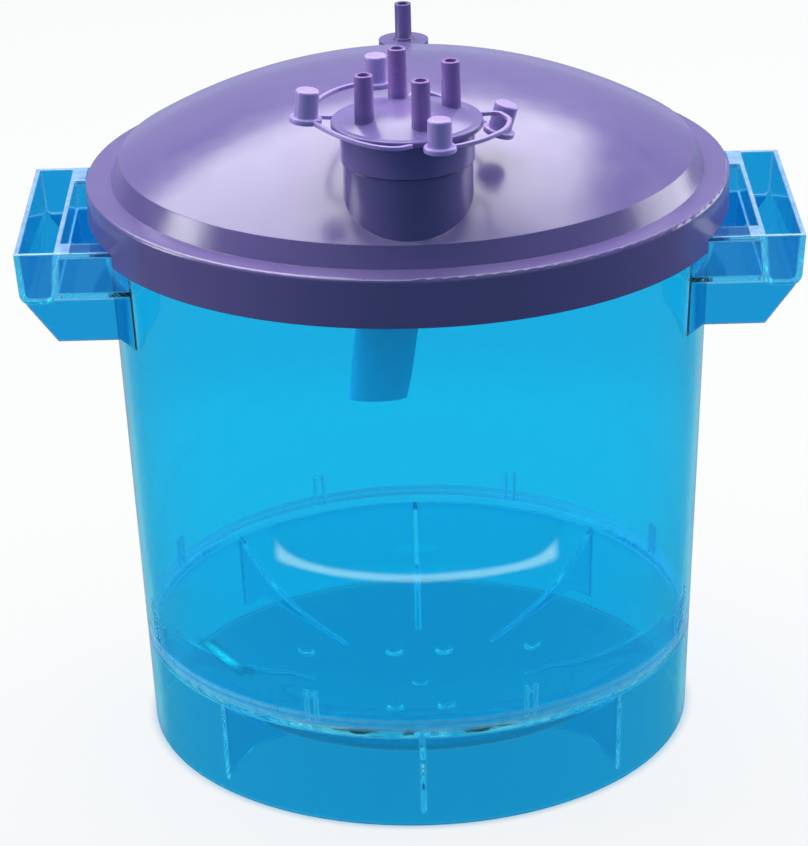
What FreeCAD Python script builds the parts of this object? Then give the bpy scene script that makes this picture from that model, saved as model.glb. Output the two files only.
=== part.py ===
"""Large wide-mouth suction canister: clear jar with two box handles, domed lid, four-port spout cap.

Millimetres, +Z up. The origin is the centre of the jar's foot, on the surface that it stands on.
-Y is the front, where the pour spout is, and the handles are on the X axis.
"""
import FreeCAD, Part
import math
import os

V = FreeCAD.Vector

# General fits
GAP = 0.3                    # running clearance between pieces that come apart
INSERT_GAP = 0.2             # clearance of a piece pushed into its socket
EDGE_SHARE = 0.3             # rounding of a wall's free edge, as a share of its thickness
TOUCH = 1e-4                 # points closer than this count as one

# Jar
FOOT_RADIUS = 144.5          # outside of the foot at the floor
JAR_HEIGHT = 299.7           # top of the rim
JAR_DRAFT_DEG = 2.234        # outward taper of the wall
JAR_WALL = 3.0
RIM_REACH = 5.0              # outward width of the rolled rim
RIM_THICK = 3.0
RIM_ROUND = 1.5
RIM_LIP_DROP = 7.0           # depth of the rim's turned-down lip
RIM_LIP_THICK = 2.0

# Dished floor
FLOOR_Z = 8.5                # inside of the bowl at its centre
FLOOR_WALL = 3.0
FLOOR_RING_Z = 58.0          # height where the bowl runs into the wall
CROWN_RADIUS = 330.0         # the bowl's flat middle
CROWN_REACH = 90.0           # how far out the flat middle goes
GATE_RADIUS = 4.0            # moulding gate mark at the centre
GATE_HEIGHT = 0.8
GATE_ROUND = 0.5

# Ribs under the floor and lugs on it
RIB_COUNT = 8
RIB_THICK = 2.4
RIB_FOOT_Z = 7.0             # where a rib's lower edge meets the foot skirt
RIB_ARCH_Z = 19.5            # top of the arch in a rib's lower edge
RIB_ARCH_IN = 18.0           # how far inside the skirt that top is
RIB_ARCH_ROUND = 16.0
RIB_RUN = 84.0               # how far a rib goes inwards from the skirt
RIB_START_UP = 4.0           # how far above the bowl's lowest point it runs out
LUG_RADIUS = 4.5
LUG_HEIGHT = 2.0
LUG_ROUND = 1.2
LUG_RINGS = ((68.0, (22.5, 157.5, 202.5, 337.5)), (36.0, (67.5, 112.5, 247.5, 292.5)))
STACK_PAIR_GAP = 5.0         # between the two bars of a stacking pair
STACK_BAR_WIDTH = 1.6
STACK_BAR_DEPTH = 1.8
STACK_BAR_HEIGHT = 18.0
STACK_BAR_SINK = 2.0         # how far a bar's foot is let into the bowl's edge

# Handles
HANDLE_DROP = 12.7           # grip's top edge, below the jar's rim
HANDLE_LENGTH = 133.0        # along Y
HANDLE_PROUD = 42.3          # grip's outer face, beyond the wall at that height
HANDLE_WALL = 2.5
TROUGH_WIDTH = 22.5
TROUGH_DEPTH = 27.0
TROUGH_DRAFT = 2.0           # each side of the grip comes in by this much towards its bottom
TROUGH_CORNER = 6.0
PLATE_DROP = 47.0            # end plates go this far below the handle's top
PLATE_CHAMFER = 15.0         # width of their cut lower corner
PLATE_GUSSET = 8.0           # small gusset at their root on the jar
PLATE_GUSSET_DROP = 6.4
WEB_DEPTH = 22.0             # floor between grip and jar, below the handle's top
BAND_FRONT = 15.5            # covered stretch at the pocket's front end
BAND_BACK = 21.0             # and at its back end
BAND_THICK = 3.0

# Lid
LID_WALL = 2.5
SKIRT_GAP = 1.3              # between the jar's rim and the skirt
SKIRT_DEPTH = 24.8           # below the ledge
SKIRT_EDGE_ROUND = 1.8
LEDGE_WIDTH = 12.8           # flat ledge between the skirt and the steep band
BAND_RUN = 4.5               # steep band round the dome, inwards
BAND_RISE = 11.0             # and upwards
DOME_RISE = 41.4
DOME_EDGE_INSET = 2.0        # inner corner of the band's head, inside the outer one
NOTCH_ROOM = 5.5             # how far the skirt is cut back past each end of a handle
PLUG_RING_DEPTH = 12.0       # ring that goes down inside the jar
PLUG_RING_THICK = 2.2
PLUG_RING_GAP = 0.8          # between that ring and the jar's inside
PLUG_RING_ROUND = 0.8
SNAP_BEAD_DROP = 4.2         # middle of the snap bead, below the jar's lip
SNAP_BEAD_HEIGHT = 3.0
SEAL_WIDTH = 5.0
SEAL_THICK = 3.3
SEAL_ROUND = 0.8

# Pour spout neck
SPOUT_INSET = 32.9           # its axis, in from the dome's edge
NECK_RADIUS = 31.2
NECK_WALL = 2.5
NECK_RISE = 42.6             # ledge under the cap, above the lid's ledge
NECK_STEP = 1.8              # width of that ledge
SPIGOT_HEIGHT = 13.3

# Port cap
CAP_WALL = 2.5
CAP_EDGE_ROUND = 0.8
DISC_LIP = 4.3               # how far the disc stands out past the cap's collar
DISC_RISE = 7.3              # flat rim of the disc, above the neck's end
DISC_THICK = 3.0
DISC_EDGE_ROUND = 0.9
DISC_FLAT = 3.5              # width of the flat rim
CAP_DOME_RISE = 5.5
CAP_LAND_WIDTH = 3.2         # ring inside that presses on the sleeve's flange
PORT_INSET = 3.5             # a port's axis, in from that ring
PORT_ANGLES = (21.0, 100.0, 209.0, 287.0)
PORT_HEIGHT = 25.6           # above the disc's rim
TALL_PORT = 1                # this port in the list stands higher
TALL_PORT_EXTRA = 2.4
PORT_BASE_RADIUS = 4.85
PORT_TIP_RADIUS = 4.45
PORT_TIP_LAND = 7.0          # straight stretch at the tip, where tubing grips
PORT_TIP_ROUND = 0.4
PORT_BORE_RADIUS = 2.8

# Tethered plugs
STRAP_WIDTH = 2.0
STRAP_THICK = 1.8
PLUG_RADIUS = 5.75
PLUG_HEIGHT = 16.0
PLUG_TOP_ROUND = 1.2
PLUG_FLANGE_RADIUS = 7.8
PLUG_FLANGE_THICK = 2.9
PLUG_FLANGE_ROUNDS = (0.6, 0.9)
PLUG_BORE_GAP = 0.15         # inside the plug, round the port's tip
PLUG_TOP_WALL = 3.0
# One entry a strap, in this order. Angles are about the spout, and a lift is from level.
TETHER_NAMES = ("tether_front", "tether_left", "tether_back", "tether_right")
TETHER_ROOT_ANGLES = (-88.0, 166.0, 87.0, 13.0)
TETHER_LIFT_ANGLES = (6.0, 0.0, -17.0, 0.0)
# The points along a strap, the last of them the plug's centre: their angles, and their distances from the
# spout's axis as shares of the disc's radius.
TETHER_POINT_ANGLES = (
    (-96.0, -106.6, -119.1, -132.3, -146.5, -170.6),
    (166.0, 158.8, 146.6, 134.0, 122.9, 113.8, 103.2),
    (85.0, 76.0, 62.9, 47.4, 24.9),
    (12.3, -1.5, -20.4, -41.5, -56.9, -70.4),
)
TETHER_POINT_SHARES = (
    (1.184, 1.244, 1.242, 1.222, 1.216, 1.341),
    (1.200, 1.367, 1.493, 1.603, 1.716, 1.767, 1.730),
    (1.265, 1.468, 1.446, 1.396, 1.401),
    (1.234, 1.359, 1.362, 1.291, 1.255, 1.224),
)

# Drop sleeve
SLEEVE_WALL = 1.5
SLEEVE_FLANGE_THICK = 1.5
SLEEVE_COLLAR_LENGTH = 39.7  # round part inside the neck
# depth below the collar, sideways place, half width and half depth of each oval section
SLEEVE_SECTIONS = ((26.0, -6.8, 17.5, 10.0), (60.0, -12.2, 15.2, 7.0), (96.0, -17.4, 14.2, 6.0))

# Vacuum port and overflow shut-off
VACUUM_INSET = 31.7          # its axis, in from the dome's edge
BOSS_RADIUS = 13.4
BOSS_RISE = 32.8             # above the lid's ledge
BOSS_WALL = 2.5
SOCKET_DEPTH = 18.6          # the boss goes on inside the lid as a socket
VACUUM_LENGTH = 19.9         # of the tube above the boss
VACUUM_RADIUS = 4.4
VACUUM_BORE_RADIUS = 2.8
VACUUM_COLLAR = 1.2          # small step round the tube's foot
CAGE_DEPTH = 34.0            # below the socket
CAGE_WALL = 1.8
CAGE_ROUND = 1.5
CAGE_FLANGE = 2.4
CAGE_WINDOW_WIDTH = 6.0
CAGE_WINDOW_HEIGHT = 22.0
VALVE_SEAL_THICK = 2.0
VALVE_HOLE_RADIUS = 3.2
FLOAT_GAP = 0.7
FLOAT_HEIGHT = 28.0
FLOAT_TIP_HEIGHT = 3.0
FLOAT_ROUNDS = (2.0, 1.5)

# Values that follow from the sizes above
JAR_SLOPE = math.tan(math.radians(JAR_DRAFT_DEG))
RIM_RADIUS = FOOT_RADIUS + JAR_HEIGHT * JAR_SLOPE + RIM_REACH
HANDLE_TOP_Z = JAR_HEIGHT - HANDLE_DROP
HANDLE_REACH = FOOT_RADIUS + HANDLE_TOP_Z * JAR_SLOPE + HANDLE_PROUD
SKIRT_INSIDE = RIM_RADIUS + SKIRT_GAP
LID_RADIUS = SKIRT_INSIDE + LID_WALL
LEDGE_UNDER_Z = JAR_HEIGHT + GAP + SEAL_THICK
LEDGE_Z = LEDGE_UNDER_Z + LID_WALL
SKIRT_BOTTOM_Z = LEDGE_Z - SKIRT_DEPTH
BAND_BASE_RADIUS = LID_RADIUS - LEDGE_WIDTH
DOME_EDGE_RADIUS = BAND_BASE_RADIUS - BAND_RUN
DOME_EDGE_Z = LEDGE_Z + BAND_RISE
DOME_TOP_Z = DOME_EDGE_Z + DOME_RISE
DOME_RADIUS = (DOME_RISE ** 2 + DOME_EDGE_RADIUS ** 2) / (2 * DOME_RISE)
DOME_CENTRE_Z = DOME_TOP_Z - DOME_RADIUS
DOME_INNER = DOME_RADIUS - LID_WALL
SPOUT = V(0, SPOUT_INSET - DOME_EDGE_RADIUS, 0)
NECK_INSIDE = NECK_RADIUS - NECK_WALL
NECK_STEP_Z = LEDGE_Z + NECK_RISE
NECK_TOP_Z = NECK_STEP_Z + SPIGOT_HEIGHT
SPIGOT_RADIUS = NECK_RADIUS - NECK_STEP
CAP_INSIDE = SPIGOT_RADIUS + GAP
CAP_OUTSIDE = CAP_INSIDE + CAP_WALL
CAP_BOTTOM_Z = NECK_STEP_Z + GAP
CAP_LAND_Z = NECK_TOP_Z + SLEEVE_FLANGE_THICK + GAP
CAP_LAND_RADIUS = CAP_INSIDE - CAP_LAND_WIDTH
DISC_RADIUS = CAP_OUTSIDE + DISC_LIP
DISC_TOP_Z = NECK_TOP_Z + DISC_RISE
PORT_RING_RADIUS = CAP_LAND_RADIUS - PORT_INSET
PORT_TOP_Z = DISC_TOP_Z + PORT_HEIGHT
STRAP_Z = DISC_TOP_Z - DISC_THICK / 2
SLEEVE_COLLAR_Z = NECK_TOP_Z - SLEEVE_COLLAR_LENGTH
VACUUM = V(0, DOME_EDGE_RADIUS - VACUUM_INSET, 0)
BOSS_TOP_Z = LEDGE_Z + BOSS_RISE
SOCKET_RADIUS = BOSS_RADIUS - BOSS_WALL
SOCKET_TOP_Z = BOSS_TOP_Z - BOSS_WALL
SOCKET_BOTTOM_Z = BOSS_TOP_Z - SOCKET_DEPTH
VACUUM_TOP_Z = BOSS_TOP_Z + VACUUM_LENGTH
CAGE_BOTTOM_Z = SOCKET_BOTTOM_Z - CAGE_DEPTH
CAGE_RADIUS = SOCKET_RADIUS - INSERT_GAP
CAGE_INSIDE = CAGE_RADIUS - CAGE_WALL
CAGE_TOP_Z = SOCKET_TOP_Z - VALVE_SEAL_THICK
CAGE_FLOOR_Z = CAGE_BOTTOM_Z + CAGE_WALL
FLOAT_RADIUS = CAGE_INSIDE - FLOAT_GAP
FLOAT_BOTTOM_Z = CAGE_FLOOR_Z + GAP


def jar_outside(z):
    """Radius of the jar's outer wall at a height."""
    return FOOT_RADIUS + z * JAR_SLOPE


def jar_inside(z):
    """Radius of the jar's inner wall at a height."""
    return jar_outside(z) - JAR_WALL


def polar(radius, angle_deg, z=0.0):
    """Point at a radius and an angle about the Z axis."""
    angle = math.radians(angle_deg)
    return V(radius * math.cos(angle), radius * math.sin(angle), z)


def xz(point):
    """Profile point (across, up) in the XZ plane."""
    return V(point[0], 0, point[1])


def xy(point):
    """Plan point (x, y) at height zero."""
    return V(point[0], point[1], 0)


def rounded(before, corner, after):
    """Tangent points and middle of the arc that rounds a corner (x, y, radius)."""
    here = V(corner[0], corner[1], 0)
    into = here - V(before[0], before[1], 0)
    out = V(after[0], after[1], 0) - here
    into.normalize()
    out.normalize()
    half_turn = into.getAngle(out) / 2
    radius = corner[2]
    trim = radius * math.tan(half_turn)
    towards = out - into
    towards.normalize()
    middle = here + towards * (radius / math.cos(half_turn) - radius)
    start = here - into * trim
    end = here + out * trim
    return tuple(start)[:2], tuple(middle)[:2], tuple(end)[:2]


def outline(points, place, closed=True):
    """Wire through points. (x, y, radius) is a rounded corner, ("via", x, y) makes the next run an arc."""
    corners = [p for p in points if p[0] != "via"]
    vias = {}
    for index, point in enumerate(points):
        if point[0] == "via":
            vias[sum(1 for p in points[:index] if p[0] != "via") - 1] = point[1:]
    count = len(corners)
    ends = []
    for i, corner in enumerate(corners):
        if len(corner) == 3:
            ends.append(rounded(corners[i - 1], corner, corners[(i + 1) % count]))
        else:
            ends.append((corner, None, corner))
    edges = []
    for i in range(count if closed else count - 1):
        start = place(ends[i][2])
        end = place(ends[(i + 1) % count][0])
        if i in vias:
            edges.append(Part.Arc(start, place(vias[i]), end).toShape())
        elif start.distanceToPoint(end) > 1e-6:
            edges.append(Part.LineSegment(start, end).toShape())
        following = ends[(i + 1) % count]
        if following[1] is not None:
            edges.append(Part.Arc(place(following[0]), place(following[1]), place(following[2])).toShape())
    return Part.Wire(Part.__sortEdges__(edges))


def turned(points):
    """Solid of revolution about the Z axis from a closed profile."""
    return Part.Face(outline(points, xz)).revolve(V(0, 0, 0), V(0, 0, 1), 360)


def pierced(points, length, start_y):
    """Prism along +Y from a closed profile in the XZ plane."""
    face = Part.Face(outline(points, xz))
    face.translate(V(0, start_y, 0))
    return face.extrude(V(0, length, 0))


def rod(radius, bottom, top, centre=V(0, 0, 0)):
    """Upright cylinder between two heights."""
    return Part.makeCylinder(radius, top - bottom, centre + V(0, 0, bottom))


def box(x0, x1, y0, y1, z0, z1):
    """Block between two corners."""
    return Part.makeBox(x1 - x0, y1 - y0, z1 - z0, V(x0, y0, z0))


def stud(radius, bottom, top, top_round):
    """Upright round stud on the Z axis with a rounded top edge."""
    return turned(((0, bottom), (radius, bottom), (radius, top, top_round), (0, top)))


def both_ends(edge, test):
    """Whether both ends of an edge pass a test."""
    return all(test(vertex.Point) for vertex in edge.Vertexes)


def bowl_arcs(reach):
    """The bowl's inner arcs: crown, then a knuckle tangent to it that ends at radius reach."""
    crown_angle = math.asin(CROWN_REACH / CROWN_RADIUS)
    crown_end = (CROWN_REACH, FLOOR_Z + CROWN_RADIUS * (1 - math.cos(crown_angle)))
    run = reach - crown_end[0]
    rise = FLOOR_RING_Z - crown_end[1]
    half_turn = math.atan2(rise, run) - crown_angle
    radius = math.hypot(run, rise) / (2 * math.sin(half_turn))
    centre = (crown_end[0] - radius * math.sin(crown_angle), crown_end[1] + radius * math.cos(crown_angle))
    return crown_angle, centre, radius


def bowl_face_points(offset, reach):
    """Points of one face of the bowl, offset outwards from the inner face, from the axis to reach."""
    crown_angle, centre, radius = bowl_arcs((jar_inside(FLOOR_RING_Z) + jar_outside(FLOOR_RING_Z)) / 2)
    crown = CROWN_RADIUS + offset
    knuckle = radius + offset
    end_angle = math.asin((reach - centre[0]) / knuckle)
    middle_angle = (crown_angle + end_angle) / 2
    top = FLOOR_Z + CROWN_RADIUS

    def on_crown(angle):
        return crown * math.sin(angle), top - crown * math.cos(angle)

    def on_knuckle(angle):
        return centre[0] + knuckle * math.sin(angle), centre[1] - knuckle * math.cos(angle)

    return (on_crown(0), ("via",) + on_crown(crown_angle / 2), on_crown(crown_angle),
            ("via",) + on_knuckle(middle_angle), on_knuckle(end_angle))


def bowl():
    """Dished floor of the jar, run into the middle of the wall."""
    reach = (jar_inside(FLOOR_RING_Z) + jar_outside(FLOOR_RING_Z)) / 2
    inner = bowl_face_points(0.0, reach)
    outer = bowl_face_points(FLOOR_WALL, reach)
    return turned(inner + tuple(reversed(outer)))


def under_bowl():
    """Solid above the bowl's lower face, which trims the ribs below it."""
    reach = (jar_inside(FLOOR_RING_Z) + jar_outside(FLOOR_RING_Z)) / 2
    lower = bowl_face_points(FLOOR_WALL / 2, reach)
    return turned(lower + ((reach, JAR_HEIGHT), (0.0, JAR_HEIGHT)))


def wall_band():
    """Tapered wall of the jar with its rolled rim."""
    under_rim = JAR_HEIGHT - RIM_THICK
    lip_bottom = JAR_HEIGHT - RIM_LIP_DROP
    edge_round = EDGE_SHARE * JAR_WALL
    return turned((
        (jar_inside(0), 0, edge_round), (jar_outside(0), 0, edge_round), (jar_outside(under_rim), under_rim),
        (RIM_RADIUS - RIM_LIP_THICK, under_rim), (RIM_RADIUS - RIM_LIP_THICK, lip_bottom),
        (RIM_RADIUS, lip_bottom), (RIM_RADIUS, JAR_HEIGHT, RIM_ROUND), (jar_inside(JAR_HEIGHT), JAR_HEIGHT)))


def floor_rib():
    """One rib under the bowl, along +X, from the foot skirt inwards."""
    skirt = jar_inside(RIB_FOOT_Z) + JAR_WALL / 2
    arch = jar_inside(RIB_FOOT_Z) - RIB_ARCH_IN
    start = jar_inside(RIB_FOOT_Z) - RIB_RUN
    start_z = FLOOR_Z - FLOOR_WALL + RIB_START_UP
    points = ((start, start_z), (arch, RIB_ARCH_Z, RIB_ARCH_ROUND), (jar_inside(RIB_FOOT_Z), RIB_FOOT_Z),
              (skirt, RIB_FOOT_Z), (skirt, FLOOR_RING_Z), (start, FLOOR_RING_Z))
    plain = pierced(points, RIB_THICK, -RIB_THICK / 2)
    lower = [edge for edge in plain.Edges
             if both_ends(edge, lambda p: p.z < RIB_ARCH_Z + TOUCH) and edge.Length > RIB_THICK + TOUCH]
    return plain.makeFillet(EDGE_SHARE * RIB_THICK, lower).cut(under_bowl())


def stacking_bar(offset):
    """Upright bar on the inside of the wall, beside the +X direction."""
    bottom = FLOOR_RING_Z - STACK_BAR_SINK
    top = bottom + STACK_BAR_HEIGHT
    points = ((jar_inside(bottom) - STACK_BAR_DEPTH, bottom), (jar_inside(bottom) + JAR_WALL / 2, bottom),
              (jar_inside(top) + JAR_WALL / 2, top), (jar_inside(top) - STACK_BAR_DEPTH, top))
    plain = pierced(points, STACK_BAR_WIDTH, offset - STACK_BAR_WIDTH / 2)
    proud = [edge for edge in plain.Edges
             if both_ends(edge, lambda p: p.x < jar_inside(p.z) - STACK_BAR_DEPTH + TOUCH)]
    return plain.makeFillet(EDGE_SHARE * STACK_BAR_WIDTH, proud)


def handle_end(start_y):
    """End plate of the grip, with its small gusset on the jar and its cut lower corner."""
    top = HANDLE_TOP_Z
    bottom = top - PLATE_DROP
    cut_back = HANDLE_REACH - TROUGH_DRAFT - TROUGH_CORNER / 2
    gusset_x = math.sqrt(jar_outside(bottom) ** 2 - (HANDLE_LENGTH / 2) ** 2) + PLATE_GUSSET
    root = bottom - PLATE_GUSSET_DROP
    points = ((0, top), (0, root), (gusset_x - PLATE_GUSSET, root), (gusset_x, bottom),
              (cut_back - PLATE_CHAMFER, bottom), (cut_back, top - TROUGH_DEPTH), (cut_back, top))
    return pierced(points, HANDLE_WALL, start_y)


def handle_rounded(body):
    """The grip with its free edges rounded: round the open top and along the outside of both end plates."""
    half = HANDLE_LENGTH / 2
    top_edges = [edge for edge in body.Edges if both_ends(edge, lambda p: abs(p.z - HANDLE_TOP_Z) < TOUCH)]
    end_edges = [edge for edge in body.Edges
                 if both_ends(edge, lambda p: abs(p.y - half) < TOUCH)
                 or both_ends(edge, lambda p: abs(p.y + half) < TOUCH)]
    found = []
    for edge in top_edges + end_edges:
        on_axis = both_ends(edge, lambda p: abs(p.x) < TOUCH)
        if not on_axis and not any(edge.isSame(other) for other in found):
            found.append(edge)
    return body.makeFillet(EDGE_SHARE * HANDLE_WALL, found)


def handle():
    """Box grip on the +X side: open trough, web, covered ends and two end plates."""
    half = HANDLE_LENGTH / 2
    top = HANDLE_TOP_Z
    floor = top - TROUGH_DEPTH
    inner = HANDLE_REACH - TROUGH_WIDTH
    draft = TROUGH_DRAFT
    wall = HANDLE_WALL
    trough = pierced(((inner, top), (inner + draft, floor, TROUGH_CORNER),
                      (HANDLE_REACH - draft, floor, TROUGH_CORNER), (HANDLE_REACH, top)),
                     HANDLE_LENGTH, -half)
    corner = TROUGH_CORNER - wall
    left = inner + wall
    right = HANDLE_REACH - wall
    hollow = pierced(((left, top + wall), (left, top), (left + draft, floor + wall, corner),
                      (right - draft, floor + wall, corner), (right, top), (right, top + wall)),
                     HANDLE_LENGTH - 2 * wall, -half + wall)
    body = trough.fuse(handle_end(-half)).fuse(handle_end(half - wall))
    web_z = top - WEB_DEPTH
    body = body.fuse(box(0, inner + wall, -half, half, web_z - wall, web_z))
    body = body.fuse(box(0, inner + wall, -half, -half + BAND_FRONT, top - BAND_THICK, top))
    body = body.fuse(box(0, inner + wall, half - BAND_BACK, half, top - BAND_THICK, top))
    body = handle_rounded(body.cut(hollow).removeSplitter())
    inside_wall = turned(((0, 0), (jar_outside(0) - JAR_WALL / 2, 0),
                          (jar_outside(JAR_HEIGHT) - JAR_WALL / 2, JAR_HEIGHT), (0, JAR_HEIGHT)))
    return body.cut(inside_wall)


def canister_jar():
    """Clear jar: wall, bowl, ribs, lugs, stacking bars and both handles as one moulding."""
    pieces = [bowl()]
    rib = floor_rib()
    for index in range(RIB_COUNT):
        pieces.append(rib.rotated(V(0, 0, 0), V(0, 0, 1), index * 360 / RIB_COUNT))
    for offset in (-STACK_PAIR_GAP / 2, STACK_PAIR_GAP / 2):
        bar = stacking_bar(offset)
        for index in range(RIB_COUNT):
            pieces.append(bar.rotated(V(0, 0, 0), V(0, 0, 1), (index + 0.5) * 360 / RIB_COUNT))
    for radius, angles in LUG_RINGS:
        base = FLOOR_Z + CROWN_RADIUS - math.sqrt(CROWN_RADIUS ** 2 - radius ** 2)
        for angle in angles:
            lug = stud(LUG_RADIUS, base - FLOOR_WALL / 2, base + LUG_HEIGHT, LUG_ROUND)
            lug.translate(polar(radius, angle))
            pieces.append(lug)
    pieces.append(stud(GATE_RADIUS, FLOOR_Z - FLOOR_WALL / 2, FLOOR_Z + GATE_HEIGHT, GATE_ROUND))
    grip = handle()
    pieces.append(grip)
    pieces.append(grip.mirror(V(0, 0, 0), V(1, 0, 0)))
    return wall_band().multiFuse(pieces).removeSplitter()


def dome_volume(radius):
    """Ball that the lid's dome face belongs to."""
    return Part.makeSphere(radius, V(0, 0, DOME_CENTRE_Z))


def lid_shell():
    """Turned shell of the lid: skirt, ledge, steep band, dome and the ring that goes into the jar."""
    band_inner = BAND_BASE_RADIUS - LID_WALL
    ring_out = jar_inside(JAR_HEIGHT) - PLUG_RING_GAP
    ring_in = ring_out - PLUG_RING_THICK
    ring_bottom = JAR_HEIGHT - PLUG_RING_DEPTH
    edge_in = DOME_EDGE_RADIUS - DOME_EDGE_INSET
    edge_in_z = DOME_CENTRE_Z + math.sqrt(DOME_INNER ** 2 - edge_in ** 2)
    half = DOME_EDGE_RADIUS / 2
    half_z = DOME_CENTRE_Z + math.sqrt(DOME_RADIUS ** 2 - half ** 2)
    half_in_z = DOME_CENTRE_Z + math.sqrt(DOME_INNER ** 2 - half ** 2)
    return turned((
        (0, DOME_TOP_Z), ("via", half, half_z), (DOME_EDGE_RADIUS, DOME_EDGE_Z),
        (BAND_BASE_RADIUS, LEDGE_Z), (LID_RADIUS, LEDGE_Z, SKIRT_EDGE_ROUND),
        (LID_RADIUS, SKIRT_BOTTOM_Z), (SKIRT_INSIDE, SKIRT_BOTTOM_Z), (SKIRT_INSIDE, LEDGE_UNDER_Z),
        (ring_out, LEDGE_UNDER_Z), (ring_out, ring_bottom, PLUG_RING_ROUND), (ring_in, ring_bottom),
        (ring_in, LEDGE_UNDER_Z), (band_inner, LEDGE_UNDER_Z), (edge_in, edge_in_z),
        ("via", half, half_in_z), (0, DOME_TOP_Z - LID_WALL)))


def lid():
    """Domed lid with its snap bead, pour spout neck, vacuum port and float socket."""
    shell = lid_shell()
    bead_z = JAR_HEIGHT - RIM_LIP_DROP - SNAP_BEAD_DROP
    bead_root = SKIRT_INSIDE + LID_WALL / 2
    shell = shell.fuse(turned(((RIM_RADIUS + GAP, bead_z), (bead_root, bead_z - SNAP_BEAD_HEIGHT / 2),
                               (bead_root, bead_z + SNAP_BEAD_HEIGHT / 2))))
    reach = LID_RADIUS + 1
    notch_half = HANDLE_LENGTH / 2 + NOTCH_ROOM
    notch = box(-reach, reach, -notch_half, notch_half, SKIRT_BOTTOM_Z - 1, HANDLE_TOP_Z + GAP)
    shell = shell.cut(notch.cut(rod(RIM_RADIUS, SKIRT_BOTTOM_Z - 2, LEDGE_Z)))
    neck = rod(NECK_RADIUS, LEDGE_Z, NECK_STEP_Z, SPOUT)
    neck = neck.fuse(rod(SPIGOT_RADIUS, NECK_STEP_Z - 1, NECK_TOP_Z, SPOUT))
    boss = rod(BOSS_RADIUS, LEDGE_Z, BOSS_TOP_Z, VACUUM)
    tube = rod(VACUUM_RADIUS, SOCKET_TOP_Z, VACUUM_TOP_Z, VACUUM)
    collar = rod(VACUUM_RADIUS + VACUUM_COLLAR, SOCKET_TOP_Z, BOSS_TOP_Z + VACUUM_COLLAR, VACUUM)
    above = neck.multiFuse([boss, tube, collar]).cut(dome_volume(DOME_INNER))
    socket = rod(BOSS_RADIUS, SOCKET_BOTTOM_Z, BOSS_TOP_Z, VACUUM)
    body = shell.multiFuse([above, socket])
    body = body.cut(rod(NECK_INSIDE, SKIRT_BOTTOM_Z, NECK_TOP_Z + 1, SPOUT))
    body = body.cut(rod(SOCKET_RADIUS, SKIRT_BOTTOM_Z, SOCKET_TOP_Z, VACUUM))
    body = body.cut(rod(VACUUM_BORE_RADIUS, SKIRT_BOTTOM_Z, VACUUM_TOP_Z + 1, VACUUM))
    return body.removeSplitter()


def rim_seal():
    """Soft ring in the lid's channel, over the jar's rim."""
    inner = jar_inside(JAR_HEIGHT) - PLUG_RING_GAP + GAP
    bottom = JAR_HEIGHT + GAP
    return turned(((inner, bottom, SEAL_ROUND), (inner + SEAL_WIDTH, bottom, SEAL_ROUND),
                   (inner + SEAL_WIDTH, LEDGE_UNDER_Z), (inner, LEDGE_UNDER_Z)))


def cap_dome(radius, base_z, rise):
    """Three points of the cap's dome from its edge to the axis."""
    ball = (radius ** 2 + rise ** 2) / (2 * rise)
    half_z = base_z + rise - ball + math.sqrt(ball ** 2 - radius ** 2 / 4)
    return (radius, base_z), ("via", radius / 2, half_z), (0, base_z + rise)


def cap_hollow():
    """Space inside the port cap above its land."""
    under = cap_dome(CAP_LAND_RADIUS, DISC_TOP_Z - CAP_WALL, CAP_DOME_RISE)
    return turned(((CAP_LAND_RADIUS, CAP_BOTTOM_Z - 1),) + under + ((0, CAP_BOTTOM_Z - 1),))


def port(index):
    """One tapered port, solid, with a straight tip."""
    top = PORT_TOP_Z + (TALL_PORT_EXTRA if index == TALL_PORT else 0)
    base = DISC_TOP_Z - CAP_WALL
    shape = turned(((0, base), (PORT_BASE_RADIUS, base), (PORT_TIP_RADIUS, top - PORT_TIP_LAND),
                    (PORT_TIP_RADIUS, top, PORT_TIP_ROUND), (0, top)))
    shape.translate(polar(PORT_RING_RADIUS, PORT_ANGLES[index]) + SPOUT)
    return shape


def port_cap():
    """Cap on the pour spout: collar, disc with a domed middle, and the four ports."""
    under = DISC_TOP_Z - DISC_THICK
    dome = cap_dome(DISC_RADIUS - DISC_FLAT, DISC_TOP_Z, CAP_DOME_RISE)
    body = turned(((CAP_INSIDE, CAP_BOTTOM_Z), (CAP_OUTSIDE, CAP_BOTTOM_Z, CAP_EDGE_ROUND),
                   (CAP_OUTSIDE, under), (DISC_RADIUS, under),
                   (DISC_RADIUS, DISC_TOP_Z, DISC_EDGE_ROUND)) + dome
                  + ((0, CAP_LAND_Z), (CAP_INSIDE, CAP_LAND_Z)))
    body.translate(SPOUT)
    body = body.multiFuse([port(index) for index in range(len(PORT_ANGLES))])
    hollow = cap_hollow()
    hollow.translate(SPOUT)
    body = body.cut(hollow)
    for angle in PORT_ANGLES:
        place = polar(PORT_RING_RADIUS, angle) + SPOUT
        body = body.cut(rod(PORT_BORE_RADIUS, CAP_LAND_Z, PORT_TOP_Z + TALL_PORT_EXTRA + 1, place))
    return body.removeSplitter()


def smooth_path(points):
    """Open path of straight runs joined by tangent arcs as large as the runs allow."""
    path = [points[0]]
    for before, here, after in zip(points, points[1:], points[2:]):
        into = xy(here) - xy(before)
        out = xy(after) - xy(here)
        half_turn = into.getAngle(out) / 2
        radius = 0.45 * min(into.Length, out.Length) / math.tan(half_turn)
        path.append((here[0], here[1], radius))
    path.append(points[-1])
    return outline(path, xy, closed=False)


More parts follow.
